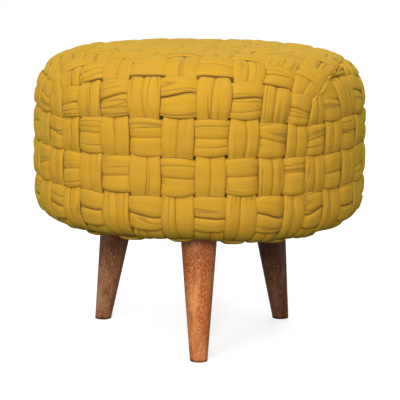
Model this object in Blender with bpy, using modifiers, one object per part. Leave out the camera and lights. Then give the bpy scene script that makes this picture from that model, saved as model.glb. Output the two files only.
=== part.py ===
"""Round woven footstool in metres, +Z up, standing on z = 0 with the front leg towards -Y.

One filled cushion carries a plain basket weave of puffed bands, each a pair of strips.
Nine bands cross the top from front to back and nine from side to side; all of them run
down the side and pass over and under six bands that go round. A round board closes the
underside, and three turned, splayed legs stand under it.
"""

import math

import bmesh
import bpy
import numpy as np

# Cushion outline: a rounded cylinder, two superellipse quarters that meet at the waist
cushion_radius = 0.225
waist_height = 0.2575
top_rise = 0.1442
belly_depth = 0.0997
shoulder_power = 5.25
hem_power = 6.1
slope_step = 0.004

# Top of the weave: a crossing of nine by nine bands, laid on the crown as a bowed oblong
bands_per_face = 9
cover_turn = math.radians(-10.1)
top_half_width = 0.177
top_half_depth = 0.145
top_lopside = 0.0077
top_bow = 0.07

# Side of the weave: depths of the row edges below the rim, and how the corner's dip fades down them
side_rows = 6
shoulder_arc = 0.156
row_depths = (0.0, 0.054, 0.1090, 0.1575, 0.2062, 0.2570, 0.3060)
dip_fade_rows = 1.25
dip_fade_power = 1.2
slip_fade_power = 1.6
column_spread = 0.1

# How far the columns are drawn sideways round the waist, by direction in degrees
slip_azimuths = (-180, -145, -112, -93, -68, -45, 0, 180)
column_slips = (0.0, 0.0045, 0.0045, 0.0015, -0.0020, -0.0034, 0.0, 0.0)

# Relief of one cell, measured from the cushion outline
ridge_rise = 0.0028
strip_groove = 0.0024
band_end_drop = 0.0032
edge_depth = 0.0054
hole_depth = 0.0084
cell_lines = (0.0, 0.17, 0.5, 0.83, 1.0)
corner_calm = 0.55
corner_reach = 0.040

# Base board, flush with the hem of the cushion
board_radius = 0.160
board_thickness = 0.012
board_underside = 0.166
board_edge_round = 0.0015
gap = 0.0003
weld_distance = 0.00002

# Legs: where their axes cross the board and the floor, and their diameters there
leg_circle_top = 0.123
leg_circle_foot = 0.1496
leg_diameter_top = 0.049
leg_diameter_foot = 0.023
leg_edge_round = 0.0010
leg_spare = 0.02
leg_shift = (-0.005, 0.0)
leg_azimuths = {"leg_front": -90.0, "leg_right": 30.0, "leg_left": 150.0}

mustard_jersey = ((0.62, 0.36, 0.045), 0.9)
plain_ply = ((0.45, 0.33, 0.20), 0.7)
stained_wood = ((0.26, 0.11, 0.045), 0.45)


def clear_scene():
    """Remove every object that the opened file holds."""
    for item in list(bpy.data.objects):
        bpy.data.objects.remove(item, do_unlink=True)


def new_collection(name):
    """Return a collection of this name, linked to the scene."""
    made = bpy.data.collections.new(name)
    bpy.context.scene.collection.children.link(made)
    return made


def new_material(name, colour, roughness):
    """Return a Principled material with one colour and roughness."""
    made = bpy.data.materials.new(name)
    made.use_nodes = True
    shader = made.node_tree.nodes["Principled BSDF"]
    shader.inputs["Base Color"].default_value = (*colour, 1.0)
    shader.inputs["Roughness"].default_value = roughness
    shader.inputs["Metallic"].default_value = 0.0
    return made


def place(name, mesh, material, collection):
    """Link a mesh as a named object with its material."""
    made = bpy.data.objects.new(name, mesh)
    made.data.materials.append(material)
    collection.objects.link(made)
    return made


def meridian_table(steps=600):
    """Half outline from the top centre to the underside: arc length, radius and height."""
    angle = np.linspace(math.pi / 2, 0.0, steps)
    top_r = cushion_radius * np.cos(angle) ** (2 / shoulder_power)
    top_z = waist_height + top_rise * np.sin(angle) ** (2 / shoulder_power)
    low = angle[::-1][1:]
    low_r = cushion_radius * np.cos(low) ** (2 / hem_power)
    low_z = waist_height - belly_depth * np.sin(low) ** (2 / hem_power)
    radius = np.concatenate([top_r, low_r])
    height = np.concatenate([top_z, low_z])
    radius[0] = 0.0
    length = np.concatenate([[0.0], np.cumsum(np.hypot(np.diff(radius), np.diff(height)))])
    return length, radius, height


arc_length, arc_radius, arc_height = meridian_table()


def outline_point(arc, azimuth, offset):
    """Point at an arc length down the outline, moved out along the outline's normal."""
    radius = np.interp(arc, arc_length, arc_radius)
    height = np.interp(arc, arc_length, arc_height)
    above = max(arc - slope_step, 0.0)
    below = arc + slope_step
    run = np.interp(below, arc_length, arc_radius) - np.interp(above, arc_length, arc_radius)
    fall = np.interp(below, arc_length, arc_height) - np.interp(above, arc_length, arc_height)
    size = math.hypot(run, fall)
    radius = radius - offset * fall / size
    height = height + offset * run / size
    return (radius * math.cos(azimuth), radius * math.sin(azimuth), height)


def top_place(across, back):
    """Arc length and azimuth of a place on the top, both coordinates from -1 to 1."""
    side = (top_half_width * across + top_lopside * across ** 2) * (1 + top_bow * (1 - back ** 2))
    deep = top_half_depth * back * (1 + top_bow * (1 - across ** 2))
    return math.hypot(side, deep), cover_turn + math.atan2(deep, side)


def side_place(face, along, row):
    """Arc length and azimuth on one of four faces, along it from -1 to 1 and down by rows."""
    rim = ((along, -1.0), (1.0, along), (-along, 1.0), (-1.0, -along))[face]
    rim_arc, rim_azimuth = top_place(*rim)
    dip = (rim_arc - shoulder_arc) * math.exp(-((row / dip_fade_rows) ** dip_fade_power))
    down = np.interp(row, range(side_rows + 1), row_depths)
    centre = cover_turn + (face - 1) * math.pi / 2
    even = centre + math.pi / 4 * ((1 + column_spread) * along - column_spread * along ** 3)
    slip = math.remainder(rim_azimuth - even, math.tau)
    azimuth = even + slip * math.exp(-((row / dip_fade_rows) ** slip_fade_power))
    direction = math.degrees(math.remainder(azimuth, math.tau))
    drawn = np.interp(direction, slip_azimuths, column_slips) / cushion_radius
    return shoulder_arc + dip + down, azimuth + drawn * min(row, 1.0)


# Middle of the narrow first row at each of the four corners of the top
top_corners = [outline_point(*side_place(face, 1.0, 0.5), 0.0) for face in range(4)]


def cell_offset(across, along):
    """Relief of one cell: two ridges side by side along the band that lies on top."""
    on_edge = across in (0.0, 1.0) or along in (0.0, 1.0)
    if on_edge:
        place_on_edge = along if across in (0.0, 1.0) else across
        rise = math.sin(math.pi * place_on_edge)
        return -hole_depth + (hole_depth - edge_depth) * rise
    groove = strip_groove if across == 0.5 else 0.0
    drop = 0.0 if along == 0.5 else band_end_drop
    return ridge_rise - groove - drop


def relief_share(place):
    """Share of the relief kept at a place: less near the four corners, where the cells are small."""
    nearest = min(math.dist(place, corner) for corner in top_corners)
    return 1 - corner_calm * math.exp(-((nearest / corner_reach) ** 2))


def add_cell(mesh, locate, long_way):
    """Add the faces of one cell; locate gives arc and azimuth for two fractions of the cell."""
    grid = []
    for down in cell_lines:
        line = []
        for over in cell_lines:
            arc, azimuth = locate(over, down)
            offset = cell_offset(over, down) if long_way else cell_offset(down, over)
            offset = offset * relief_share(outline_point(arc, azimuth, 0.0))
            line.append(mesh.verts.new(outline_point(arc, azimuth, offset)))
        grid.append(line)
    for upper, lower in zip(grid, grid[1:]):
        for spot in range(len(cell_lines) - 1):
            mesh.faces.new((upper[spot], lower[spot], lower[spot + 1], upper[spot + 1]))


def top_cell(column, bench):
    """Locate function of a top cell: column from the left, bench from the front."""
    width = 2 / bands_per_face

    def locate(over, down):
        return top_place(-1 + width * (column + over), -1 + width * (bench + 1 - down))

    return locate


def side_cell(face, column, row):
    """Locate function of a side cell."""
    width = 2 / bands_per_face

    def locate(over, down):
        return side_place(face, -1 + width * (column + over), row + down)

    return locate


def close_underside(mesh):
    """Carry the hem in to the board's seat and close the seat."""
    seat_radius = board_radius + gap
    seat_ceiling = board_underside + board_thickness + gap
    edges = [edge for edge in mesh.edges if edge.is_boundary]
    rings = ((seat_radius, board_underside + board_edge_round), (seat_radius, seat_ceiling))
    for radius, height in rings:
        made = bmesh.ops.extrude_edge_only(mesh, edges=edges)["geom"]
        for vert in (item for item in made if isinstance(item, bmesh.types.BMVert)):
            azimuth = math.atan2(vert.co.y, vert.co.x)
            vert.co = (radius * math.cos(azimuth), radius * math.sin(azimuth), height)
        edges = [item for item in made if isinstance(item, bmesh.types.BMEdge) and item.is_boundary]
    bmesh.ops.contextual_create(mesh, geom=edges)


def woven_cushion(collection, material):
    """One filled solid: the woven relief on the rounded cylinder, with a seat for the board."""
    mesh = bmesh.new()
    for bench in range(bands_per_face):
        for column in range(bands_per_face):
            add_cell(mesh, top_cell(column, bench), (column + bench) % 2 == 1)
    for face in range(4):
        for column in range(bands_per_face):
            for row in range(side_rows):
                long_way = (face * bands_per_face + column + row) % 2 == 0
                add_cell(mesh, side_cell(face, column, row), long_way)
    bmesh.ops.remove_doubles(mesh, verts=mesh.verts, dist=weld_distance)
    close_underside(mesh)
    bmesh.ops.recalc_face_normals(mesh, faces=mesh.faces)
    data = bpy.data.meshes.new("woven_cushion")
    mesh.to_mesh(data)
    mesh.free()
    data.shade_smooth()
    return place("woven_cushion", data, material, collection)


def turned(name, profile, steps):
    """Mesh object of a profile of radius and height points, turned about its Z axis."""
    data = bpy.data.meshes.new(name)
    points = [(radius, 0.0, height) for radius, height in profile]
    joins = [(first, first + 1) for first in range(len(points) - 1)]
    data.from_pydata(points, joins, [])
    made = bpy.data.objects.new(name, data)
    screw = made.modifiers.new("turn", "SCREW")
    screw.angle = math.tau
    screw.steps = steps
    screw.render_steps = steps
    screw.use_merge_vertices = True
    screw.merge_threshold = weld_distance
    return made


def round_edges(item, width, segments):
    """Round the sharp edges of an object."""
    bevel = item.modifiers.new("round", "BEVEL")
    bevel.width = width
    bevel.segments = segments
    bevel.limit_method = "ANGLE"
    bevel.angle_limit = math.radians(50)


def base_board(collection, material):
    """Round board that the legs stand under."""
    top = board_underside + board_thickness
    profile = ((0.0, top), (board_radius, top), (board_radius, board_underside), (0.0, board_underside))
    made = turned("base_board", profile, 72)
    made.data.materials.append(material)
    round_edges(made, board_edge_round, 2)
    collection.objects.link(made)
    return made


def leg_slab(collection):
    """Cutter that keeps the height between the floor and the board."""
    bpy.ops.mesh.primitive_cube_add(size=1.0)
    slab = bpy.context.object
    slab.name = "leg_slab"
    height = board_underside - gap
    slab.data.transform(slab.matrix_world)
    for vert in slab.data.vertices:
        vert.co.z = height if vert.co.z > 0 else 0.0
    slab.hide_render = True
    slab.display_type = "WIRE"
    for owner in list(slab.users_collection):
        owner.objects.unlink(slab)
    collection.objects.link(slab)
    return slab


def splayed_leg(name, azimuth, slab, collection, material):
    """Turned, tapered leg that leans outwards, cut level at the floor and under the board.

    Its profile is longer than the leg at both ends, and the slab takes the spare off.
    """
    lean = math.atan2(leg_circle_foot - leg_circle_top, board_underside)
    length = board_underside / math.cos(lean)
    taper = (leg_diameter_top - leg_diameter_foot) / length
    top_radius = (leg_diameter_top + taper * leg_spare) / 2
    foot_radius = (leg_diameter_foot - taper * leg_spare) / 2
    high = length + leg_spare
    profile = ((0.0, high), (top_radius, high), (foot_radius, -leg_spare), (0.0, -leg_spare))
    made = turned(name, profile, 48)
    made.data.materials.append(material)
    out = (math.cos(azimuth), math.sin(azimuth))
    made.location = (leg_circle_foot * out[0] + leg_shift[0], leg_circle_foot * out[1] + leg_shift[1], 0.0)
    made.rotation_euler = (0.0, -lean, azimuth)
    cut = made.modifiers.new("cut", "BOOLEAN")
    cut.operation = "INTERSECT"
    cut.object = slab
    round_edges(made, leg_edge_round, 2)
    collection.objects.link(made)
    return made


def build_footstool():
    """Build every part in its collection."""
    clear_scene()
    parts = new_collection("footstool")
    cutters = new_collection("cutters")
    wood = new_material("stained_wood", *stained_wood)
    woven_cushion(parts, new_material("mustard_jersey", *mustard_jersey))
    base_board(parts, new_material("plain_ply", *plain_ply))
    slab = leg_slab(cutters)
    for name, degrees in leg_azimuths.items():
        splayed_leg(name, math.radians(degrees), slab, parts, wood)


build_footstool()
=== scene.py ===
# %% [markdown]
# A round footstool with a puffed basket weave
#
# The real footstool is a drum-shaped cushion on three turned legs. Its cover is woven from soft
# bands, most likely by hand, and each band is a pair of stuffed strips that lie side by side. This
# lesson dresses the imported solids: the solids say where everything is and how big it is, and the
# cells below make the weave, the cloth, the wood, the floor and the light.

# %% Load the fixed frame
import math

import bmesh
import bpy
import numpy as np
from mathutils import Matrix, Vector


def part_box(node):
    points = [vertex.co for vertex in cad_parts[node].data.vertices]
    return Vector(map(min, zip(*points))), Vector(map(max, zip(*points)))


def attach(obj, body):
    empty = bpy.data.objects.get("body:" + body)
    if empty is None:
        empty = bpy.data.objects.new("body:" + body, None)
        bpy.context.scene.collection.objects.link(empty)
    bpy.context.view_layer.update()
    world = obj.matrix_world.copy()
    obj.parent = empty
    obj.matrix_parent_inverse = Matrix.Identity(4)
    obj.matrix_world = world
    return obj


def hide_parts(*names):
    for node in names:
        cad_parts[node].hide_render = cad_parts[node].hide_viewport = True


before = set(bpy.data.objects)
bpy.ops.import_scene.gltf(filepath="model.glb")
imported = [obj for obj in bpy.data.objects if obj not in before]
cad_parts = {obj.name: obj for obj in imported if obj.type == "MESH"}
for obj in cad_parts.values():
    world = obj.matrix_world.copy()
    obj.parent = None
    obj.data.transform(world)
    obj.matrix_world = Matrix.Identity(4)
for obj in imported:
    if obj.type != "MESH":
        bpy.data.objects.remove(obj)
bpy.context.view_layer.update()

# %% [markdown]
# The camera
#
# A product picture like this one is taken from a little above the seat, about two metres away.
# The camera stands a touch to the left of the front leg, looks about ten degrees down and is
# rolled by half a degree. A long lens keeps the upright sides nearly parallel. The place and the
# lens were worked out from the outline of the cushion and the three feet.

# %% Camera
view_turn = math.radians(-2.62)
view_pitch = math.radians(9.95)
view_roll = math.radians(0.557)
view_distance = 2.063
view_side = 0.00155
target_height = 0.1871
sensor_width = 36.0
focal_in_pixels = 1485.8
picture_in_pixels = 400
focal_in_frames = focal_in_pixels / picture_in_pixels

level = Matrix.Rotation(view_turn, 4, "Z")
camera_data = bpy.data.cameras.new("camera")
camera_data.sensor_width = sensor_width
camera_data.lens = sensor_width * focal_in_frames
camera_data.clip_end = 200.0
camera = bpy.data.objects.new("camera", camera_data)
bpy.context.scene.collection.objects.link(camera)
stand = Vector((
    view_side,
    -view_distance * math.cos(view_pitch),
    target_height + view_distance * math.sin(view_pitch),
))
camera.matrix_world = (
    level
    @ Matrix.Translation(stand)
    @ Matrix.Rotation(math.pi / 2 - view_pitch, 4, "X")
    @ Matrix.Rotation(view_roll, 4, "Z")
)
bpy.context.scene.camera = camera
print("camera at", [round(v, 3) for v in camera.matrix_world.translation])

# %% [markdown]
# Nodes in a few words
#
# Both kinds of node tree below, shader trees and Geometry Nodes trees, are built in this script.
# A few small helpers keep that readable. The first adds a node and wires its inputs. The others
# are for what comes up again and again: sums on numbers and on vectors, a smooth step from one
# range to another, a mix of two colours, a material with its shader, a bump, and a tree's inputs.

# %% Helpers for node trees
def add_node(tree, kind, wires=None, **settings):
    """Add a node, set its properties, and give each named input a value or a wire."""
    made = tree.nodes.new(kind)
    for name, value in settings.items():
        setattr(made, name, value)
    for name, value in (wires or {}).items():
        if isinstance(value, bpy.types.NodeSocket):
            tree.links.new(value, made.inputs[name])
        else:
            made.inputs[name].default_value = value
    return made


def sums(tree, operation, *terms, clamp=False):
    """Math node on one to three numbers."""
    wires = dict(enumerate(terms))
    return add_node(tree, "ShaderNodeMath", wires, operation=operation, use_clamp=clamp).outputs[0]


def vector_sums(tree, operation, *terms):
    """Vector Math node on one to three vectors."""
    wires = dict(enumerate(terms))
    return add_node(tree, "ShaderNodeVectorMath", wires, operation=operation).outputs[0]


def weighted(tree, *parts):
    """Sum of values, each times its weight."""
    total = None
    for value, weight in parts:
        part = sums(tree, "MULTIPLY", value, weight)
        total = part if total is None else sums(tree, "ADD", total, part)
    return total


def scaled(tree, vector, factor):
    """A vector times a number."""
    made = add_node(tree, "ShaderNodeVectorMath", {0: vector, "Scale": factor}, operation="SCALE")
    return made.outputs[0]


def ramp(tree, value, low, high, to_low=0.0, to_high=1.0):
    """Smooth step of a value from one range to another."""
    wires = {"Value": value, "From Min": low, "From Max": high, "To Min": to_low, "To Max": to_high}
    return add_node(tree, "ShaderNodeMapRange", wires, interpolation_type="SMOOTHSTEP").outputs[0]


def blend_colours(tree, share, first, second, mode="MIX"):
    """Mix two colours by a share: sockets 0, 6 and 7 of the node, and 2 on its way out."""
    made = add_node(tree, "ShaderNodeMix", data_type="RGBA", blend_type=mode)
    for spot, value in ((0, share), (6, first), (7, second)):
        if isinstance(value, bpy.types.NodeSocket):
            tree.links.new(value, made.inputs[spot])
        else:
            made.inputs[spot].default_value = value
    return made.outputs[2]


def new_material(name):
    """A new material, its node tree and its Principled shader."""
    made = bpy.data.materials.new(name)
    made.use_nodes = True
    return made, made.node_tree, made.node_tree.nodes["Principled BSDF"]


def add_bump(tree, shader, height, depth, strength):
    """Raise a material's surface by a height value."""
    wires = {"Height": height, "Distance": depth, "Strength": strength}
    tree.links.new(add_node(tree, "ShaderNodeBump", wires).outputs[0], shader.inputs["Normal"])


def add_input(tree, name, kind, value=None):
    """Add a named input to a node tree or group."""
    socket = tree.interface.new_socket(name=name, in_out="INPUT", socket_type=kind)
    if value is not None:
        socket.default_value = value


# %% [markdown]
# Floor and light
#
# The footstool stands on plain white paper in an even, soft light that comes a little more from
# the front left and from above, and a lamp behind it keeps the back from going dark. One very
# wide floor fills the whole picture, because the camera looks down and the horizon stays above
# the frame. The camera sees the paper almost white, but the light that the paper throws back up
# is dimmed, so that the hem and the tops of the legs stay as deep as in the picture.

# %% Floor
scene = bpy.context.scene
scene.view_settings.view_transform = "Standard"
pure_white = (1.0, 1.0, 1.0, 1.0)
paper_white = (0.93, 0.93, 0.93, 1.0)
paper_glow = 0.55
bounce_grey = (0.16, 0.16, 0.16, 1.0)
floor_half = 60.0

floor_mesh = bpy.data.meshes.new("floor")
floor_shape = bmesh.new()
bmesh.ops.create_grid(floor_shape, x_segments=1, y_segments=1, size=floor_half)
floor_shape.to_mesh(floor_mesh)
floor_shape.free()
floor = bpy.data.objects.new("floor", floor_mesh)
scene.collection.objects.link(floor)

paper, paper_tree, paper_shader = new_material("white paper")
paper_shader.inputs["Base Color"].default_value = paper_white
paper_shader.inputs["Roughness"].default_value = 0.9
paper_shader.inputs["Specular IOR Level"].default_value = 0.1
paper_shader.inputs["Emission Color"].default_value = pure_white
paper_shader.inputs["Emission Strength"].default_value = paper_glow
dim_paper = add_node(paper_tree, "ShaderNodeBsdfDiffuse", {"Color": bounce_grey})
seen = paper_tree.nodes.new("ShaderNodeLightPath").outputs["Is Camera Ray"]
two_papers = {0: seen, 1: dim_paper.outputs[0], 2: paper_shader.outputs[0]}
paper_mix = add_node(paper_tree, "ShaderNodeMixShader", two_papers).outputs[0]
paper_tree.links.new(paper_mix, paper_tree.nodes["Material Output"].inputs["Surface"])
floor_mesh.materials.append(paper)
print("floor", 2 * floor_half, "m wide")

# %% Sky and lamps
sky_strength = 0.50
sky_seen_strength = 1.0
lamp_target = Vector((0.0, 0.0, 0.25))

sky = bpy.data.worlds.new("soft room")
sky.use_nodes = True
sky_tree = sky.node_tree
sky_light = sky_tree.nodes["Background"]
sky_light.inputs["Color"].default_value = pure_white
sky_seen = sky_tree.nodes.new("ShaderNodeLightPath").outputs["Is Camera Ray"]
sky_power = ramp(sky_tree, sky_seen, 0.0, 1.0, sky_strength, sky_seen_strength)
sky_tree.links.new(sky_power, sky_light.inputs["Strength"])
scene.world = sky

# Each lamp has its place, its size across in metres and its power in watts.
lamps = {
    "key lamp": ((-1.3, -2.0, 2.0), 1.6, 26.0),
    "front lamp": ((-0.25, -3.0, 1.2), 0.6, 36.0),
    "top lamp": ((0.2, -0.3, 2.6), 2.2, 5.5),
    "back lamp": ((0.9, 2.6, 1.8), 2.0, 14.0),
}
for lamp_name, (place, size, power) in lamps.items():
    lamp_data = bpy.data.lights.new(lamp_name, "AREA")
    lamp_data.shape = "DISK"
    lamp_data.size = size
    lamp_data.energy = power
    lamp = bpy.data.objects.new(lamp_name, lamp_data)
    scene.collection.objects.link(lamp)
    lamp.location = place
    aim = lamp_target - Vector(place)
    lamp.rotation_euler = aim.to_track_quat("-Z", "Y").to_euler()
print("lamps", len(lamps))

# %% [markdown]
# The cushion's outline
#
# Seen from the side the cushion is a rounded cylinder: two quarters of a superellipse meet at the
# waist, the upper one for the shoulder and crown and the lower one for the belly and hem. Every
# band of the weave runs on this surface, so the surface is written once as a function of the arc
# length from the top centre and the direction around. The sizes are those of the solid. Over the
# front leg the hem is drawn up by a few millimetres, and to the right of it, it hangs lower.

# %% Outline as a function
high_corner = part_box("woven_cushion")[1]
cushion_radius = 0.225
waist_height = 0.2575
top_rise = 0.1442
belly_depth = 0.0997
shoulder_power = 5.25
hem_power = 6.1
slope_step = 0.004

# The hem's lift in metres, by direction in degrees, comes in between two arc lengths.
hem_arcs = (0.385, 0.430)
hem_azimuths = (-180, -140, -108, -92, -76, -58, -20, 180)
hem_lifts = (0.0, 0.001, 0.003, 0.0045, -0.0005, -0.002, 0.0, 0.0)


def outline_table(steps=1200):
    """Half outline from the top centre to the underside: arc length, radius and height."""
    angle = np.linspace(math.pi / 2, 0.0, steps)
    top_r = cushion_radius * np.cos(angle) ** (2 / shoulder_power)
    top_z = waist_height + top_rise * np.sin(angle) ** (2 / shoulder_power)
    low = angle[::-1][1:]
    low_r = cushion_radius * np.cos(low) ** (2 / hem_power)
    low_z = waist_height - belly_depth * np.sin(low) ** (2 / hem_power)
    radius = np.concatenate([top_r, low_r])
    height = np.concatenate([top_z, low_z])
    radius[0] = 0.0
    length = np.concatenate([[0.0], np.cumsum(np.hypot(np.diff(radius), np.diff(height)))])
    return length, radius, height


arc_length, arc_radius, arc_height = outline_table()


def outline_slope(arc):
    """Radial run and fall in height of the outline at an arc length, as a unit pair."""
    above = np.maximum(arc - slope_step, 0.0)
    below = arc + slope_step
    run = np.interp(below, arc_length, arc_radius) - np.interp(above, arc_length, arc_radius)
    fall = np.interp(below, arc_length, arc_height) - np.interp(above, arc_length, arc_height)
    size = np.hypot(run, fall)
    return run / size, fall / size


def degrees_round(azimuth):
    """Directions in degrees from -180 to 180."""
    return np.degrees(np.remainder(azimuth + math.pi, math.tau) - math.pi)


def surface_point(arc, azimuth, offset):
    """Points at arc lengths down the outline, moved out along the outline's normal."""
    run, fall = outline_slope(arc)
    radius = np.interp(arc, arc_length, arc_radius) - offset * fall
    height = np.interp(arc, arc_length, arc_height) + offset * run
    at_hem = np.interp(arc, hem_arcs, (0.0, 1.0))
    height = height + at_hem * np.interp(degrees_round(azimuth), hem_azimuths, hem_lifts)
    return np.stack([radius * np.cos(azimuth), radius * np.sin(azimuth), height], axis=-1)


def surface_normal(arc, azimuth):
    """Outward normals of the outline at arc lengths and directions."""
    run, fall = outline_slope(arc)
    return np.stack([-fall * np.cos(azimuth), -fall * np.sin(azimuth), run], axis=-1)


crown = surface_point(np.array([0.0]), np.array([0.0]), 0.0)[0]
print("crown at", round(float(crown[2]), 4), "solid reaches", round(high_corner.z, 4))

# %% [markdown]
# How the weave lies on it
#
# Nine bands cross the top from front to back and nine from side to side. On the side, nine
# columns on each of four faces run down from the top, and six bands go round them. On the top the
# crossings lie on a bowed oblong. Below its rim the corner's dip fades out row by row. A weave
# drawn on a flat sheet and wrapped on later would stretch at the four corners where only three
# cells meet, so the crossings are placed on the round surface itself. The real weave is not quite
# even: the rows are not all as high, the columns slip a little sideways, and near the right front
# corner the first line of crossings is drawn up and towards the corner.

# %% Places in the weave
bands_per_face = 9
side_rows = 6
faces_round = 4
cells_over = 2 * side_rows + bands_per_face
cells_round = faces_round * bands_per_face
cover_turn = math.radians(-10.1)
top_half_width = 0.177
top_half_depth = 0.145
top_lopside = 0.0077
top_bow = 0.07
shoulder_arc = 0.156
dip_fade_rows = 1.25
dip_fade_power = 1.2
slip_fade_power = 1.6
column_spread = 0.1

# Depth of each row line below the rim in metres, from one row above the rim downwards.
row_depths = (-0.054, 0.0, 0.054, 0.1090, 0.1575, 0.2062, 0.2570, 0.3060, 0.3550)

# Sideways slip of the columns in metres, by direction in degrees.
slip_azimuths = (-180, -145, -112, -93, -68, -45, 0, 180)
column_slips = (0.0, 0.0045, 0.0045, 0.0015, -0.0020, -0.0034, 0.0, 0.0)

# Pull on the first row line of the right face in metres, by the column lines from its left edge.
pulled_face = 1
pulled_lines = (0, 1, 2, 3, 4, 9)
pulled_round = (0.0, 0.015, 0.022, 0.006, 0.0, 0.0)
pulled_up = (-0.001, 0.009, 0.016, 0.014, 0.003, 0.0)


def top_place(across, back):
    """Arc length and azimuth of places on the top, both coordinates from -1 to 1."""
    side = (top_half_width * across + top_lopside * across ** 2) * (1 + top_bow * (1 - back ** 2))
    deep = top_half_depth * back * (1 + top_bow * (1 - across ** 2))
    return np.hypot(side, deep), cover_turn + np.arctan2(deep, side)


def side_place(face, along, row):
    """Arc length and azimuth on a face (0 front, 1 right, 2 back, 3 left), by rows from the rim.

    along goes from -1 to 1 to the right, as seen from outside.
    """
    edge = np.ones_like(along)
    rim = ((along, -edge), (edge, along), (-along, edge), (-edge, -along))[face]
    rim_arc, rim_azimuth = top_place(*rim)
    fade = np.maximum(row, 0.0) / dip_fade_rows
    dip = (rim_arc - shoulder_arc) * np.exp(-(fade ** dip_fade_power))
    down = np.interp(row, range(-1, len(row_depths) - 1), row_depths)
    centre = cover_turn + (face - 1) * math.pi / 2
    even = centre + math.pi / 4 * ((1 + column_spread) * along - column_spread * along ** 3)
    slip = np.remainder(rim_azimuth - even + math.pi, math.tau) - math.pi
    azimuth = even + slip * np.exp(-(fade ** slip_fade_power))
    drawn = np.interp(degrees_round(azimuth), slip_azimuths, column_slips) / cushion_radius
    azimuth = azimuth + drawn * np.clip(row, 0.0, 1.0)
    if face == pulled_face:
        line = (along + 1) / 2 * bands_per_face
        pull = np.interp(row, (0.0, 1.0, 2.0), (0.0, 1.0, 0.0))
        down = down - pull * np.interp(line, pulled_lines, pulled_up)
        azimuth = azimuth - pull * np.interp(line, pulled_lines, pulled_round) / cushion_radius
    return shoulder_arc + dip + down, azimuth


def crossing_place(starts_on, spot, across):
    """Places on a band that climbs one face, crosses the top and goes down the other face.

    spot counts cells from the hem, and across is the band's coordinate over the top.
    """
    top_spot = 2 / bands_per_face * (spot - side_rows) - 1
    if starts_on == "front":
        climb = side_place(0, across, side_rows - spot)
        over = top_place(across, top_spot)
        fall = side_place(2, -across, spot - side_rows - bands_per_face)
    else:
        climb = side_place(3, -across, side_rows - spot)
        over = top_place(top_spot, across)
        fall = side_place(1, across, spot - side_rows - bands_per_face)
    climbing = spot < side_rows
    crossing = spot <= side_rows + bands_per_face
    arc = np.where(climbing, climb[0], np.where(crossing, over[0], fall[0]))
    azimuth = np.where(climbing, climb[1], np.where(crossing, over[1], fall[1]))
    return arc, azimuth


def ring_place(spot, row):
    """Places on a band that goes round, where spot counts cells from the front left."""
    spot = np.remainder(spot, cells_round)
    face_of = np.minimum(spot // bands_per_face, faces_round - 1).astype(int)
    along = 2 / bands_per_face * (spot - bands_per_face * face_of) - 1
    arc = np.zeros_like(spot)
    azimuth = np.zeros_like(spot)
    for face in range(faces_round):
        found = side_place(face, along, row)
        arc = np.where(face_of == face, found[0], arc)
        azimuth = np.where(face_of == face, found[1], azimuth)
    return arc, azimuth


print("crossings", bands_per_face ** 2 + cells_round * side_rows)

# %% [markdown]
# The line that each strip follows
#
# A strip is known from its centre line, the direction to its side and the direction outwards.
# They are sampled along the band, closer together where the band lies on top and further apart
# where it is hidden under another. No two cells are alike, as in the picture: the two strips of a
# band share its width unevenly, their edges and heights wander, and some are pinched more than
# others where they dive under. All of that comes from seeded random numbers that change slowly
# from cell to cell. On the top, at its corners and at the hem the strips rise and dip less. The
# first round band swells over the small cell at each corner, and the last one is a narrow ring
# that sits low round the hem.

# %% Samples along a band
samples_per_cell = 9.5
sample_crowding = 0.45
smoothing_cells = 0.14
tuck_cells = 0.25
ring_joint_cell = 22
hem_rows = 2.0
hem_stretch = 1.6
just_below_one = 0.999


def slow_random(rng, spot, cells, amount, closed):
    """Random value for each cell, joined by smooth steps along the band."""
    values = rng.uniform(-amount, amount, cells + 2)
    if closed:
        values[-2:] = values[:2]
    place = np.remainder(spot, cells) if closed else spot + 0.5
    place = np.clip(place, 0.0, cells + just_below_one)
    first = np.floor(place).astype(int)
    part = place - first
    part = part * part * (3 - 2 * part)
    return values[first] * (1 - part) + values[first + 1] * part


def smooth_line(values, width, closed):
    """Average a row of vectors with its neighbours by a bell curve that is width samples wide."""
    reach = int(math.ceil(3 * width))
    kernel = np.exp(-0.5 * (np.arange(-reach, reach + 1) / width) ** 2)
    kernel /= kernel.sum()
    carried_on = {"mode": "wrap"} if closed else {"mode": "reflect", "reflect_type": "odd"}
    padded = np.pad(values, ((reach, reach), (0, 0)), **carried_on)
    columns = [np.convolve(padded[:, axis], kernel, mode="valid") for axis in range(3)]
    return np.stack(columns, axis=-1)


def band_spots(over_cell, cells, closed):
    """Sample places along a band, in cells, crowded where it lies on top."""
    start = over_cell + ring_joint_cell - 0.5 if closed else -tuck_cells
    end = start + cells if closed else cells + tuck_cells
    count = int(round((end - start) * samples_per_cell))
    even = np.linspace(start, end, count, endpoint=not closed)
    phase = even - over_cell - 0.5
    return even - sample_crowding / math.pi * np.sin(math.pi * phase)


def woven_spots(spots, over_cell, closed):
    """Places along a band as its wave counts them.

    A band that lies on top of the last whole row stays on top down to the lowered hem ring.
    """
    if closed or over_cell == 0:
        return spots
    to_hem = np.minimum(spots, cells_over - spots)
    slack = np.maximum(hem_rows - to_hem, 0.0) * (1 - 1 / hem_stretch)
    return spots + np.where(spots < cells_over / 2, slack, -slack)


print("samples on a band over the top", len(band_spots(0, cells_over, False)))

# %% Corners of the top
corner_row = 0.4
corner_reach = 0.032
corner_points = np.stack([
    surface_point(*side_place(face, np.array([1.0]), np.array([corner_row])), 0.0)[0]
    for face in range(faces_round)
])


def corner_share(points):
    """One at the corners of the top, where the cells are small, and zero away from them."""
    nearest = np.linalg.norm(points[:, None] - corner_points[None], axis=2).min(axis=1)
    return np.exp(-((nearest / corner_reach) ** 2))


print("corners at", corner_points.round(3).tolist())

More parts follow.
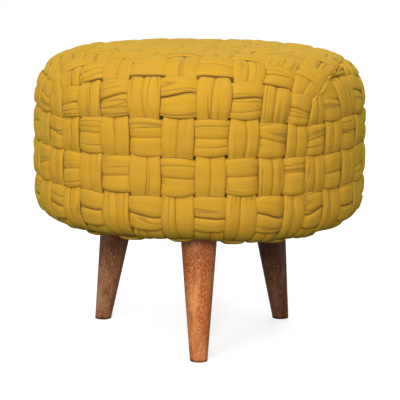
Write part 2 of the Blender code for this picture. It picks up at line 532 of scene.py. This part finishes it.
# %% The two strips of a band
strip_thickness = 0.0066
strip_width_factor = 1.10
weave_lift = 0.0044
outer_rise = 0.0020
flat_top = 0.13
wave_peak = 1 - flat_top
middle_offset = outer_rise - strip_thickness - weave_lift * wave_peak
split_wander = 0.10
edge_wander = 0.03
height_wander = 0.0008
dive_pinch = 0.085
pinch_wander = 0.7
wider_on_top = 0.03
top_calm = 0.50
corner_calm = 0.50
corner_thin = 0.40
corner_fill = 0.16
hem_calm = 0.6
hem_calm_rows = (0.5, 1.4)
seed_span = 50.0


def strip_line(place_at, spots, low, high, closed):
    """Centre, side vector (half a width long) and outward vector along one strip."""
    left = surface_point(*place_at(spots, low), middle_offset)
    right = surface_point(*place_at(spots, high), middle_offset)
    middle = place_at(spots, (low + high) / 2)
    width = smoothing_cells * samples_per_cell
    centre = smooth_line(surface_point(*middle, middle_offset), width, closed)
    side = smooth_line((right - left) / 2, width, closed) * strip_width_factor
    out = smooth_line(surface_normal(*middle), width, closed)
    out /= np.linalg.norm(out, axis=1, keepdims=True)
    return centre, side, out


def band_lines(place_at, over_cell, cells, closed, seed):
    """Lines of the two strips of a band, with the wave that takes them over and under."""
    rng = np.random.default_rng(seed)
    spots = band_spots(over_cell, cells, closed)
    angle = math.pi * (woven_spots(spots, over_cell, closed) - over_cell - 0.5)
    wave = np.cos(angle) - flat_top * np.cos(3 * angle)
    split = 0.5 + slow_random(rng, spots, cells, split_wander, closed)
    pinch = dive_pinch * (1 - wave) / 2
    low = slow_random(rng, spots, cells, edge_wander, closed)
    low = low + pinch * (1 + slow_random(rng, spots, cells, pinch_wander, closed))
    high = 1 + slow_random(rng, spots, cells, edge_wander, closed)
    high = high - pinch * (1 + slow_random(rng, spots, cells, pinch_wander, closed))
    strips = []
    for first, last in ((low, split), (split, high)):
        centre, side, out = strip_line(place_at, spots, first, last, closed)
        near = corner_share(centre)
        facing_up = np.clip(out[:, 2], 0.0, 1.0)
        calm = (1 - top_calm * facing_up ** 2) * (1 - corner_calm * near)
        plump = 1 - corner_thin * near
        lift = slow_random(rng, spots, cells, height_wander, closed)
        lift = lift + weave_lift * wave_peak * (1 - calm) + strip_thickness * (1 - plump)
        if not closed:
            from_hem = np.minimum(spots, cells - spots)
            calm = calm * np.interp(from_hem, hem_calm_rows, (1 - hem_calm, 1.0))
        strips.append({
            "centre": centre + out * lift[:, None],
            "side": side * (1 + wider_on_top * wave + corner_fill * near)[:, None],
            "out": out,
            "wave": wave * calm,
            "plump": plump,
            "seed": np.full(len(spots), rng.uniform(0.0, seed_span)),
        })
    return strips


print("middle of the weave", round(middle_offset, 4), "m from the outline")

# %% Three kinds of bands
hem_ring_width = 0.55
swell_reach = 0.7
swell_up = 0.22
swell_down = 0.40


def front_back_band(number):
    """Place function of a front-to-back band, counted from the left."""
    def place_at(spots, across):
        return crossing_place("front", spots, 2 / bands_per_face * (number + across) - 1)
    return place_at


def side_side_band(number):
    """Place function of a side-to-side band, counted from the front."""
    def place_at(spots, across):
        return crossing_place("left", spots, 2 / bands_per_face * (number + 1 - across) - 1)
    return place_at


def corner_swell(spots):
    """One where the first round band lies over the small cell at a corner, and zero beside it."""
    swell = np.zeros_like(spots)
    for edge in range(bands_per_face, cells_round + 1, bands_per_face):
        over_cell = edge if edge % 2 else edge - 1
        apart = np.remainder(spots, cells_round) - over_cell - 0.5
        swell += np.exp(-((apart / swell_reach) ** 2))
    return swell


def round_band(number):
    """Place function of a band that goes round, counted from the top."""
    hem_ring = number == side_rows - 1
    top = number + hem_stretch - 1 if hem_ring else number
    width = hem_ring_width if hem_ring else 1.0

    def place_at(spots, across):
        row = top + width * across
        if number == 0:
            row = row + corner_swell(spots) * (swell_down * across - swell_up * (1 - across))
        return ring_place(spots, row)
    return place_at


# Each kind has its name, its place function, its count, the first cell that band 1 has on top,
# its cells, and whether it closes to a ring.
band_kinds = (
    ("band_front_back", front_back_band, bands_per_face, 1, cells_over, False),
    ("band_side_side", side_side_band, bands_per_face, 0, cells_over, False),
    ("band_round", round_band, side_rows, 1, cells_round, True),
)
band_plan = []
for kind, place_for, count, first_over, cells, closed in band_kinds:
    for number in range(count):
        over_cell = (number + first_over) % 2
        name = f"{kind}_{number + 1}"
        band_plan.append((name, place_for(number), over_cell, cells, closed))
print("bands", len(band_plan))

# %% [markdown]
# One tree that makes every strip
#
# A strip is a stuffed tube of jersey, squeezed between its neighbours until it is nearly a
# rounded rectangle. Geometry Nodes sweeps a ring of points along the centre line, and then puts
# each point where the strip's own directions say: out to the side by the half width, and outwards
# by the thickness and by the wave that takes it over and under. The same tree presses lengthwise
# pleats into the cloth with a stretched noise. They show only here and there, and a folded strip
# has finer ones all along it.

# %% Pleats in the cloth
girth = 0.056
noise_middle = 0.5
pleat_length = 0.26
pleat_width = 0.016
pressed_line = 0.035
patch_length = 0.07
patch_width = 0.030
patch_edge = (0.42, 0.60)
patch_seed_step = 3.0
fold_length = 0.20
fold_width = 0.0075
fold_line_factor = 2.2
fold_seed_step = 5.0


def pleat_noise(tree, along, around, seed, length, width, detail):
    """Noise stretched along a strip, the same in a geometry tree and in a shader."""
    place = add_node(tree, "ShaderNodeCombineXYZ", {
        "X": sums(tree, "DIVIDE", along, length),
        "Y": sums(tree, "DIVIDE", sums(tree, "MULTIPLY", around, girth), width),
        "Z": 0.0,
    }).outputs[0]
    wires = {"Vector": place, "W": seed, "Scale": 1.0, "Detail": detail, "Roughness": 0.5}
    return add_node(tree, "ShaderNodeTexNoise", wires, noise_dimensions="4D").outputs[0]


def crease_mask(tree, noise, width):
    """One on the thin winding lines where the noise crosses its middle, and zero beside them."""
    away = sums(tree, "ABSOLUTE", sums(tree, "SUBTRACT", noise, noise_middle))
    return ramp(tree, away, 0.0, width, 1.0, 0.0)


def pleats(tree, along, around, seed, folds, length, width, line_width):
    """Share of crease at a place on a strip.

    Winding lines show only here and there, and on a folded strip finer ones all along it.
    """
    winding = pleat_noise(tree, along, around, seed, length, width, 1.0)
    lines = crease_mask(tree, winding, line_width)
    patch_seed = sums(tree, "ADD", seed, patch_seed_step)
    patches = pleat_noise(tree, along, around, patch_seed, patch_length, patch_width, 0.0)
    loose = sums(tree, "MULTIPLY", lines, ramp(tree, patches, *patch_edge))
    fold_seed = sums(tree, "ADD", seed, fold_seed_step)
    fine = pleat_noise(tree, along, around, fold_seed, fold_length, fold_width, 0.0)
    fine_lines = crease_mask(tree, fine, fold_line_factor * line_width)
    return sums(tree, "MAXIMUM", loose, sums(tree, "MULTIPLY", fine_lines, folds))


# %% Geometry Nodes tree for the strips
points_around = 30
top_crowding = 0.25
swell_length = 0.05
swell_width = 0.017
swell_seed_step = 7.0
fuller_on_top = 0.06
tree_sizes = {
    "Half Thickness": strip_thickness,
    "Weave Lift": weave_lift,
    "Squareness": 3.3,
    "Pleat Depth": 0.0005,
    "Pleat Length": pleat_length,
    "Pleat Width": pleat_width,
    "Swell Depth": 0.0012,
}


def named(tree, name, kind):
    """Read a named attribute."""
    made = add_node(tree, "GeometryNodeInputNamedAttribute", {"Name": name}, data_type=kind)
    return made.outputs[0]


def store(tree, geometry, name, kind, value, domain="POINT"):
    """Store a named attribute and pass the geometry on."""
    wires = {"Geometry": geometry, "Name": name, "Value": value}
    settings = {"data_type": kind, "domain": domain}
    return add_node(tree, "GeometryNodeStoreNamedAttribute", wires, **settings).outputs[0]


def strip_tree():
    """Tree that turns centre lines into stuffed, pleated strips."""
    tree = bpy.data.node_groups.new("stuffed strips", "GeometryNodeTree")
    tree.is_modifier = True
    add_input(tree, "Centre Lines", "NodeSocketGeometry")
    for name, size in tree_sizes.items():
        add_input(tree, name, "NodeSocketFloat", size)
    add_input(tree, "Cloth", "NodeSocketMaterial")
    tree.interface.new_socket(name="Strips", in_out="OUTPUT", socket_type="NodeSocketGeometry")
    given = tree.nodes.new("NodeGroupInput").outputs

    line = add_node(tree, "GeometryNodeMeshToCurve", {"Mesh": given["Centre Lines"]}).outputs[0]
    circle = add_node(tree, "GeometryNodeCurvePrimitiveCircle", {"Resolution": points_around})
    number = tree.nodes.new("GeometryNodeInputIndex").outputs[0]
    share = sums(tree, "DIVIDE", number, float(points_around))
    turn = sums(tree, "MULTIPLY", sums(tree, "SUBTRACT", share, 0.5), math.tau)
    crowding = sums(tree, "MULTIPLY", sums(tree, "SINE", turn), top_crowding)
    turn = sums(tree, "SUBTRACT", turn, crowding)
    share = sums(tree, "ADD", sums(tree, "DIVIDE", turn, math.tau), 0.5)
    ring = store(tree, circle.outputs[0], "around", "FLOAT", share)
    wires = {"Curve": line, "Profile Curve": ring, "Fill Caps": True}
    swept = add_node(tree, "GeometryNodeCurveToMesh", wires).outputs[0]

    values = ("around", "along", "wave", "plump", "seed", "folds")
    around, along, wave, plump, seed, folds = (named(tree, name, "FLOAT") for name in values)
    vectors = ("side", "out", "centre")
    side, out, centre = (named(tree, name, "FLOAT_VECTOR") for name in vectors)

    angle = sums(tree, "MULTIPLY", sums(tree, "SUBTRACT", around, 0.5), math.tau)
    sine = sums(tree, "SINE", angle)
    cosine = sums(tree, "COSINE", angle)
    power = given["Squareness"]
    side_part = sums(tree, "POWER", sums(tree, "ABSOLUTE", sine), power)
    top_part = sums(tree, "POWER", sums(tree, "ABSOLUTE", cosine), power)
    both_parts = sums(tree, "ADD", side_part, top_part)
    reach = sums(tree, "POWER", both_parts, sums(tree, "DIVIDE", -1.0, power))
    to_side = sums(tree, "MULTIPLY", reach, sine)
    to_top = sums(tree, "MULTIPLY", reach, cosine)

    pleat_sizes = (given["Pleat Length"], given["Pleat Width"], pressed_line)
    crease = pleats(tree, along, around, seed, folds, *pleat_sizes)
    swell_seed = sums(tree, "ADD", seed, swell_seed_step)
    swell = pleat_noise(tree, along, around, swell_seed, swell_length, swell_width, 0.0)
    hollow = sums(tree, "SUBTRACT", noise_middle, swell)
    dent = weighted(tree, (crease, given["Pleat Depth"]), (hollow, given["Swell Depth"]))
    fuller = sums(tree, "ADD", 1.0, sums(tree, "MULTIPLY", wave, fuller_on_top))
    thickness = sums(tree, "MULTIPLY", given["Half Thickness"], plump)
    thickness = sums(tree, "MULTIPLY", thickness, fuller)
    height = sums(tree, "MULTIPLY", to_top, thickness)
    height = sums(tree, "SUBTRACT", height, sums(tree, "MULTIPLY", dent, to_top))
    height = sums(tree, "ADD", height, sums(tree, "MULTIPLY", given["Weave Lift"], wave))
    place = vector_sums(tree, "ADD", centre, scaled(tree, side, to_side))
    place = vector_sums(tree, "ADD", place, scaled(tree, out, height))
    wires = {"Geometry": swept, "Position": place}
    shaped = add_node(tree, "GeometryNodeSetPosition", wires).outputs[0]

    wires = {"X": along, "Y": around, "Z": 0.0}
    flat_place = add_node(tree, "ShaderNodeCombineXYZ", wires).outputs[0]
    mapped = store(tree, shaped, "UVMap", "FLOAT2", flat_place, domain="CORNER")
    for spare in (*vectors, "along", "around", "plump"):
        wires = {"Geometry": mapped, "Name": spare}
        mapped = add_node(tree, "GeometryNodeRemoveAttribute", wires).outputs[0]
    whole = add_node(tree, "GeometryNodeRealizeInstances", {"Geometry": mapped}).outputs[0]
    wires = {"Geometry": whole, "Material": given["Cloth"]}
    dressed = add_node(tree, "GeometryNodeSetMaterial", wires).outputs[0]
    tree.links.new(dressed, tree.nodes.new("NodeGroupOutput").inputs[0])
    return tree


stuffed_strips = strip_tree()
print("tree", stuffed_strips.name, "nodes", len(stuffed_strips.nodes))

# %% [markdown]
# The jersey
#
# The bands look like cotton jersey, mustard yellow, with fine ribs along each strip. The cloth
# is matt. Shade is painted into its colour: it turns browner where it goes down into a groove,
# dives under another band or is creased, because little light comes back out of there. The
# pleats come from the same helper as in the tree above, so the painted shade follows the shape.
# The effect is one shader group with named inputs, so a cover in another colour needs only
# another material.

# %% Beginning and end of a shader group
def start_group(name, colours, values):
    """Start a shader group with its colour inputs, its place on the piece and its numbers."""
    tree = bpy.data.node_groups.new(name, "ShaderNodeTree")
    for colour in colours:
        add_input(tree, colour, "NodeSocketColor")
    add_input(tree, "Place", "NodeSocketVector")
    for key, value in values.items():
        add_input(tree, key, "NodeSocketFloat", value)
    return tree, tree.nodes.new("NodeGroupInput").outputs


def finish_group(tree, colour, rough, height):
    """Give a shader group its outputs: a colour, a roughness and a height."""
    results = (
        ("Colour", "NodeSocketColor", colour),
        ("Roughness", "NodeSocketFloat", rough),
        ("Height", "NodeSocketFloat", height),
    )
    for name, kind, _ in results:
        tree.interface.new_socket(name=name, in_out="OUTPUT", socket_type=kind)
    result = tree.nodes.new("NodeGroupOutput")
    for name, _, value in results:
        tree.links.new(value, result.inputs[name])


def place_group(tree, shader, group, settings, wires):
    """Place a group in a material, feed its inputs, and wire its colour and roughness."""
    effect = add_node(tree, "ShaderNodeGroup", node_tree=group)
    for name, value in settings.items():
        effect.inputs[name].default_value = value
    for name, source in wires.items():
        tree.links.new(source, effect.inputs[name])
    tree.links.new(effect.outputs["Colour"], shader.inputs["Base Color"])
    tree.links.new(effect.outputs["Roughness"], shader.inputs["Roughness"])
    return effect


# %% Jersey shader group
painted_line = 0.020
streak_length = 0.12
streak_width = 0.0030
blotch_length = 0.03
blotch_width = 0.015
rib_wander = 5.0
stitch_pitch = 0.0011
groove_flank = (0.140, 0.176)
dive_wave = (-0.05, -0.45)
crease_shade = 0.45
tint_steps = (0.30, 0.70, 0.94, 1.05)
rough_steps = (0.3, 0.7, 0.80, 0.95)
jersey_colours = ("Cloth Colour", "Painted Shade Colour")
jersey_values = {"Strip Seed": 0.0, "Wave": 1.0, "Folds": 0.0, "Rib Width": 0.0016}


def jersey_group():
    """Group that gives ribbed jersey on a strip its colour, with painted shade, its roughness and
    height.
    """
    tree, given = start_group("jersey", jersey_colours, jersey_values)
    split = add_node(tree, "ShaderNodeSeparateXYZ", {0: given["Place"]}).outputs
    along, around = split[0], split[1]
    seed = given["Strip Seed"]

    pleat_sizes = (pleat_length, pleat_width, painted_line)
    crease = pleats(tree, along, around, seed, given["Folds"], *pleat_sizes)
    streaks = pleat_noise(tree, along, around, seed, streak_length, streak_width, 2.0)
    blotches = pleat_noise(tree, along, around, seed, blotch_length, blotch_width, 2.0)
    rib_turns = sums(tree, "DIVIDE", girth * math.tau, given["Rib Width"])
    ribs = sums(tree, "SINE", weighted(tree, (around, rib_turns), (blotches, rib_wander)))
    stitches = sums(tree, "SINE", sums(tree, "MULTIPLY", along, math.tau / stitch_pitch))

    # Painted shade: the colour goes to the shade brown on the flanks down in the grooves, where the
    # band dives under another, and along the creases.
    flank = sums(tree, "ABSOLUTE", sums(tree, "SUBTRACT", around, 0.5))
    groove = ramp(tree, flank, *groove_flank)
    dive = ramp(tree, given["Wave"], *dive_wave)
    shade = sums(tree, "MAXIMUM", groove, dive)
    creased = sums(tree, "MULTIPLY", crease, crease_shade)
    shade = sums(tree, "MAXIMUM", shade, creased, clamp=True)
    tint = ramp(tree, weighted(tree, (streaks, 0.6), (blotches, 0.4)), *tint_steps)
    cloth = blend_colours(tree, 1.0, given["Cloth Colour"], tint, "MULTIPLY")
    colour = blend_colours(tree, shade, cloth, given["Painted Shade Colour"])
    rough = ramp(tree, streaks, *rough_steps)
    height = weighted(tree, (ribs, 0.10), (stitches, 0.04), (streaks, 0.9), (crease, -0.8))
    finish_group(tree, colour, rough, height)
    return tree


jersey = jersey_group()
print("group", jersey.name, "nodes", len(jersey.nodes))

# %% Jersey material
mustard = (0.68, 0.37, 0.028, 1.0)
# Painted shade: this brown stands for the shade in the grooves, dives and creases of the jersey.
painted_shade_brown = (0.25, 0.135, 0.026, 1.0)
jersey_relief = 0.0006


def cloth_material(name, cloth_colour, painted_shade_colour, bump_depth):
    """Material of jersey cloth on strips, which reads the values that the tree left on them."""
    made, tree, shader = new_material(name)
    wires = {"Place": add_node(tree, "ShaderNodeUVMap", uv_map="UVMap").outputs[0]}
    for socket, key in (("Strip Seed", "seed"), ("Wave", "wave"), ("Folds", "folds")):
        wires[socket] = add_node(tree, "ShaderNodeAttribute", attribute_name=key).outputs["Fac"]
    settings = {"Cloth Colour": cloth_colour, "Painted Shade Colour": painted_shade_colour}
    effect = place_group(tree, shader, jersey, settings, wires)
    shader.inputs["Specular IOR Level"].default_value = 0.18
    shader.inputs["Sheen Weight"].default_value = 0.16
    shader.inputs["Sheen Roughness"].default_value = 0.5
    shader.inputs["Sheen Tint"].default_value = (0.78, 1.0, 0.12, 1.0)
    add_bump(tree, shader, effect.outputs["Height"], bump_depth, 1.0)
    return made


mustard_jersey = cloth_material("mustard jersey", mustard, painted_shade_brown, jersey_relief)
print("material", mustard_jersey.name)

# %% [markdown]
# Weaving the cover
#
# Each band is its own piece with its two strips. Its centre lines are two rows of edges that carry
# the strips' directions, wave, fullness and seed, and the tree does the rest. In the picture the
# lower strip of the second round band has fine folds in nearly every cell, so that strip is
# marked as folded. The result is made a plain mesh and the modifier is taken off, because the
# finished piece should hold nothing but its shape.

# %% Make the bands
first_seed = 100
folded_strips = {"band_round_2": 1}


def line_mesh(name, strips, closed):
    """Mesh of edges only, one row for each strip, with the values that the tree reads."""
    edges = []
    along = []
    start = 0
    for strip in strips:
        count = len(strip["centre"])
        edges += [(start + spot, start + spot + 1) for spot in range(count - 1)]
        if closed:
            edges.append((start + count - 1, start))
        steps = np.linalg.norm(np.diff(strip["centre"], axis=0), axis=1)
        along.append(np.concatenate([[0.0], np.cumsum(steps)]))
        start += count
    columns = {key: np.concatenate([strip[key] for strip in strips]) for key in strips[0]}
    columns["along"] = np.concatenate(along)
    data = bpy.data.meshes.new(name)
    data.from_pydata(columns["centre"].tolist(), edges, [])
    for key, values in columns.items():
        kind, field = ("FLOAT_VECTOR", "vector") if values.ndim == 2 else ("FLOAT", "value")
        made = data.attributes.new(key, kind, "POINT")
        made.data.foreach_set(field, values.astype(np.float32).ravel())
    return data


def set_inputs(modifier, values):
    """Set a Geometry Nodes modifier's inputs, found by name, through their identifiers."""
    for socket in modifier.node_group.interface.items_tree:
        if socket.in_out == "INPUT" and socket.name in values:
            modifier[socket.identifier] = values[socket.name]


def make_plain(item, name):
    """Give the object its evaluated shape as a plain mesh and take its modifiers off."""
    bpy.context.view_layer.update()
    evaluated = item.evaluated_get(bpy.context.evaluated_depsgraph_get())
    data = bpy.data.meshes.new_from_object(evaluated)
    data.name = name
    item.modifiers.clear()
    item.data = data


def weave_band(name, place_at, over_cell, cells, closed, seed):
    """One band of the cover, two stuffed strips side by side."""
    strips = band_lines(place_at, over_cell, cells, closed, seed)
    for number, strip in enumerate(strips):
        folded = folded_strips.get(name) == number
        strip["folds"] = np.full(len(strip["wave"]), float(folded))
    item = bpy.data.objects.new(name, line_mesh(name + "_lines", strips, closed))
    scene.collection.objects.link(item)
    modifier = item.modifiers.new("stuffed strips", "NODES")
    modifier.node_group = stuffed_strips
    set_inputs(modifier, {"Cloth": mustard_jersey})
    make_plain(item, name)
    item.data.shade_smooth()
    return item


bands = []
triangles = 0
for order, (name, place_at, over_cell, cells, closed) in enumerate(band_plan):
    band = weave_band(name, place_at, over_cell, cells, closed, first_seed + order)
    band.data.calc_loop_triangles()
    triangles += len(band.data.loop_triangles)
    bands.append(band)
print("bands", len(bands), "triangles", triangles)

# %% [markdown]
# The filling behind the weave
#
# Between the bands there are small dark holes. What lies behind them can't be made out, so a
# lining is a guess. It lies in shadow, and its dark colour is painted shade as well. It is one
# closed turned shape a little inside the weave. Its underside turns in to the board's edge and
# closes just above the board. It needs no ribs or pleats, because so little of it shows, and a
# fine noise between two dark browns of painted shade is enough.

# %% Filled core
core_inset = 0.0135
core_hem_arc = 0.452
core_rings = 90
core_steps = 96
board_gap = 0.0003
edge_above_board_foot = 0.002
merge_distance = 0.00001
board_low, board_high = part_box("base_board")
seat_radius = board_high.x + board_gap
seat_height = board_high.z + board_gap


def turned_mesh(name, profile, segments):
    """Closed turned mesh of radius and height points, from the top of the axis to the bottom."""
    shape = bmesh.new()
    points = [shape.verts.new((radius, 0.0, height)) for radius, height in profile]
    edges = [shape.edges.new(pair) for pair in zip(points, points[1:])]
    upright = {"cent": (0, 0, 0), "axis": (0, 0, 1)}
    bmesh.ops.spin(shape, geom=points + edges, angle=math.tau, steps=segments, **upright)
    bmesh.ops.remove_doubles(shape, verts=shape.verts, dist=merge_distance)
    bmesh.ops.recalc_face_normals(shape, faces=shape.faces)
    data = bpy.data.meshes.new(name)
    shape.to_mesh(data)
    shape.free()
    return data


core_arcs = np.linspace(0.0, core_hem_arc, core_rings)
core_points = surface_point(core_arcs, np.zeros_like(core_arcs), -core_inset)
core_profile = [(0.0, core_points[0][2])] + [(x, z) for x, _, z in core_points[1:]]
core_profile += [
    (seat_radius, board_low.z + edge_above_board_foot),
    (seat_radius, seat_height),
    (0.0, seat_height),
]
core = bpy.data.objects.new("cushion_core", turned_mesh("cushion_core", core_profile, core_steps))
scene.collection.objects.link(core)
core.data.shade_smooth()
print("core", len(core.data.polygons), "faces")

# %% Lining material
# Painted shade: the lining's two dark browns stand for the shade in the holes between the bands.
lining_shade_dark = (0.028, 0.013, 0.004, 1.0)
lining_shade_pale = (0.055, 0.027, 0.008, 1.0)
lining_relief = 0.0004

lining, lining_tree, lining_shader = new_material("shadowed lining")
lining_place = lining_tree.nodes.new("ShaderNodeTexCoord").outputs["Object"]
threads = {"Vector": lining_place, "Scale": 900.0, "Detail": 2.0}
lining_noise = add_node(lining_tree, "ShaderNodeTexNoise", threads).outputs[0]
lining_colour = blend_colours(lining_tree, lining_noise, lining_shade_dark, lining_shade_pale)
lining_tree.links.new(lining_colour, lining_shader.inputs["Base Color"])
lining_shader.inputs["Roughness"].default_value = 0.95
add_bump(lining_tree, lining_shader, lining_noise, lining_relief, 1.0)
core.data.materials.append(lining)
print("material", lining.name)

# %% [markdown]
# Wood
#
# The legs look like a warm, reddish hardwood under a thin satin lacquer. Fine dark pores run along
# the leg, the grain bands are wider and softer, and short pale flecks lie between them. The group
# works in the leg's own directions, along and across the wood, so that a splayed leg has grain
# that follows it. The legs and the board share it, each with its own colours.

# %% Wood shader group
warmth_steps = (0.42, 0.70)
fleck_steps = (0.47, 0.60)
fleck_strength = 0.75
fine_steps = (0.50, 0.34)
fine_strength = 0.35
pore_steps = (0.40, 0.30)
pore_strength = 0.45
lacquer_steps = (0.3, 0.7, 0.42, 0.30)


def wood_group():
    """Group that gives the colour, roughness and height of lacquered hardwood."""
    colours = ("Pale Colour", "Warm Colour", "Dark Colour")
    tree, given = start_group("turned hardwood", colours, {"Stick": 0.0})

    def stretched(across, lengthwise, detail):
        """Noise with so many features to a metre across the wood and along it."""
        mapped = vector_sums(tree, "MULTIPLY", given["Place"], (across, across, lengthwise))
        wires = {
            "Vector": mapped,
            "W": given["Stick"],
            "Scale": 1.0,
            "Detail": detail,
            "Roughness": 0.55,
        }
        return add_node(tree, "ShaderNodeTexNoise", wires, noise_dimensions="4D").outputs[0]

    grain_bands = stretched(across=85.0, lengthwise=9.0, detail=3.0)
    fine = stretched(across=420.0, lengthwise=22.0, detail=3.0)
    pores = stretched(across=1500.0, lengthwise=60.0, detail=1.0)
    flecks = stretched(across=620.0, lengthwise=380.0, detail=2.0)
    blotches = stretched(across=30.0, lengthwise=22.0, detail=2.0)

    warmth = ramp(tree, weighted(tree, (grain_bands, 0.6), (blotches, 0.4)), *warmth_steps)
    colour = blend_colours(tree, warmth, given["Warm Colour"], given["Pale Colour"])
    fleck_share = sums(tree, "MULTIPLY", ramp(tree, flecks, *fleck_steps), fleck_strength)
    colour = blend_colours(tree, fleck_share, colour, given["Pale Colour"])
    fine_share = sums(tree, "MULTIPLY", ramp(tree, fine, *fine_steps), fine_strength)
    colour = blend_colours(tree, fine_share, colour, given["Dark Colour"])
    pore_share = sums(tree, "MULTIPLY", ramp(tree, pores, *pore_steps), pore_strength)
    colour = blend_colours(tree, pore_share, colour, given["Dark Colour"])
    rough = ramp(tree, fine, *lacquer_steps)
    height = sums(tree, "SUBTRACT", sums(tree, "MULTIPLY", fine, 0.4), pore_share)
    finish_group(tree, colour, rough, height)
    return tree


hardwood = wood_group()
print("group", hardwood.name, "nodes", len(hardwood.nodes))

# %% Wood material
wood_relief = 0.0003
wood_relief_strength = 0.6


def wood_material(name, stick, pale, warm, dark, place_from):
    """Lacquered wood from one stick.

    place_from is the attribute that holds the wood's own directions, or None where the object's
    own coordinates serve.
    """
    made, tree, shader = new_material(name)
    if place_from:
        place = add_node(tree, "ShaderNodeAttribute", attribute_name=place_from).outputs["Vector"]
    else:
        place = tree.nodes.new("ShaderNodeTexCoord").outputs["Object"]
    settings = {"Stick": stick, "Pale Colour": pale, "Warm Colour": warm, "Dark Colour": dark}
    effect = place_group(tree, shader, hardwood, settings, {"Place": place})
    shader.inputs["Coat Weight"].default_value = 0.20
    shader.inputs["Coat Roughness"].default_value = 0.18
    add_bump(tree, shader, effect.outputs["Height"], wood_relief, wood_relief_strength)
    return made


# %% [markdown]
# The legs
#
# Each leg is a straight taper turned on a lathe, cut level under the board and at the floor, with
# the edge of its foot just broken. The solids give the place, the splay and both cuts. Level
# rings with many steps give the smooth round that the eye expects, and their points keep their
# place along and across the wood in an attribute for the grain. The three legs are one wood and
# differ in tone by the light, so each has a material of its own, and the right and left legs
# carry painted shade in their colours.

# %% Turned legs
leg_circle_top = 0.123
leg_circle_foot = 0.1496
leg_diameter_top = 0.049
leg_diameter_foot = 0.023
leg_shift = (-0.005, 0.0)
leg_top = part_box("leg_front")[1].z

# Each leg's direction from the middle, in degrees from the right, counted to the back.
leg_azimuths = {"leg_front": -90.0, "leg_right": 30.0, "leg_left": 150.0}
leg_span = board_low.z
leg_lean = math.atan2(leg_circle_foot - leg_circle_top, leg_span)
leg_rings = 60
leg_steps = 96
foot_rounding = 0.0016
foot_rings = 4
reach_rounds = 4


def splayed_leg(name, azimuth):
    """Turned leg that leans outwards, level at both ends, with a rounded foot."""
    length = leg_span / math.cos(leg_lean)
    foot = Vector((
        leg_circle_foot * math.cos(azimuth) + leg_shift[0],
        leg_circle_foot * math.sin(azimuth) + leg_shift[1],
        0.0,
    ))
    turn = Matrix.Rotation(azimuth, 3, "Z") @ Matrix.Rotation(-leg_lean, 3, "Y")
    axis = turn @ Vector((0.0, 0.0, 1.0))
    shape = bmesh.new()
    grain = []
    rings = []

    def add_ring(height, inset):
        """Level ring of the leaning taper at a height, drawn in by the inset.

        The reach of a spoke depends on where it meets the level, so it is found in a few rounds.
        """
        ring = []
        for step in range(leg_steps):
            angle = math.tau * step / leg_steps
            around = Vector((math.cos(angle), math.sin(angle), 0.0))
            spoke = turn @ around
            reach = 0.0
            for _ in range(reach_rounds):
                along = (height - reach * spoke.z) / axis.z
                taper = (leg_diameter_top - leg_diameter_foot) * along / length
                reach = (leg_diameter_foot + taper) / 2
            reach -= inset
            along = (height - reach * spoke.z) / axis.z
            ring.append(shape.verts.new(foot + axis * along + spoke * reach))
            grain.append((around.x * reach, around.y * reach, along))
        rings.append(ring)

    for part in range(foot_rings + 1):
        bend = math.pi / 2 * part / foot_rings
        inset = foot_rounding * (1 - math.cos(math.pi / 2 - bend))
        add_ring(foot_rounding * (1 - math.sin(bend)), inset)
    for part in range(1, leg_rings):
        add_ring(foot_rounding + (leg_top - foot_rounding) * part / leg_rings, 0.0)
    add_ring(leg_top, 0.0)
    for low, high in zip(rings, rings[1:]):
        for step in range(leg_steps):
            after = (step + 1) % leg_steps
            shape.faces.new((low[step], low[after], high[after], high[step]))
    shape.faces.new(rings[0][::-1])
    shape.faces.new(rings[-1])
    bmesh.ops.recalc_face_normals(shape, faces=shape.faces)
    data = bpy.data.meshes.new(name)
    shape.to_mesh(data)
    shape.free()
    kept = data.attributes.new("grain", "FLOAT_VECTOR", "POINT")
    kept.data.foreach_set("vector", np.array(grain, np.float32).ravel())
    data.shade_smooth()
    item = bpy.data.objects.new(name + "_turned", data)
    scene.collection.objects.link(item)
    return item


print("lean", round(math.degrees(leg_lean), 2), "degrees")

# %% Three legs, three sticks, two of them in painted shade
pale_wood = (0.95, 0.40, 0.13)
warm_wood = (0.52, 0.095, 0.009)
dark_wood = (0.17, 0.028, 0.006)
stick_apart = 3.7

# Share of red, green and blue that each leg has of these colours. The right and left legs'
# shares are painted shade: they make darker, cooler copies of the front leg's colours.
leg_shade_tones = {
    "leg_front": (1.0, 1.0, 1.0),
    "leg_right": (0.28, 0.33, 0.55),
    "leg_left": (0.62, 0.80, 1.12),
}


def toned(colour, tone):
    """A colour with each channel times its share."""
    return (*(channel * share for channel, share in zip(colour, tone)), 1.0)


legs = {}
for stick, (leg_name, degrees) in enumerate(leg_azimuths.items()):
    # Each leg's colours, with painted shade for the right and left legs.
    colours = [toned(wood, leg_shade_tones[leg_name]) for wood in (pale_wood, warm_wood, dark_wood)]
    wood_name = leg_name.replace("_", " ") + " wood"
    wood = wood_material(wood_name, stick_apart * stick, *colours, "grain")
    leg = splayed_leg(leg_name, math.radians(degrees))
    leg.data.materials.append(wood)
    legs[leg_name] = leg
print("legs", sorted(legs))

# %% [markdown]
# The board underneath
#
# The board is hidden in the picture, and a plain disc of plywood is a guess that fits. Its solid
# is already the right shape, so it stays, and only its material changes: the same wood group in
# paler colours.

# %% Board material
board_stick = 9.0
pale_ply = (0.58, 0.42, 0.26, 1.0)
warm_ply = (0.46, 0.31, 0.17, 1.0)
dark_ply = (0.25, 0.15, 0.07, 1.0)
board_wood = wood_material("plain ply", board_stick, pale_ply, warm_ply, dark_ply, None)
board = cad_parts["base_board"]
board.data.materials.clear()
board.data.materials.append(board_wood)
print("material", board_wood.name)

# %% [markdown]
# Hand everything to the frame
#
# Each piece rides on the one body, and the solids that the bands, the core and the legs take
# the place of are hidden.

# %% Ride and replace
for band in bands:
    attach(band, "root")
    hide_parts("woven_cushion")
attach(core, "root")
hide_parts("woven_cushion")
for leg_name, leg in legs.items():
    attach(leg, "root")
    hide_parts(leg_name)
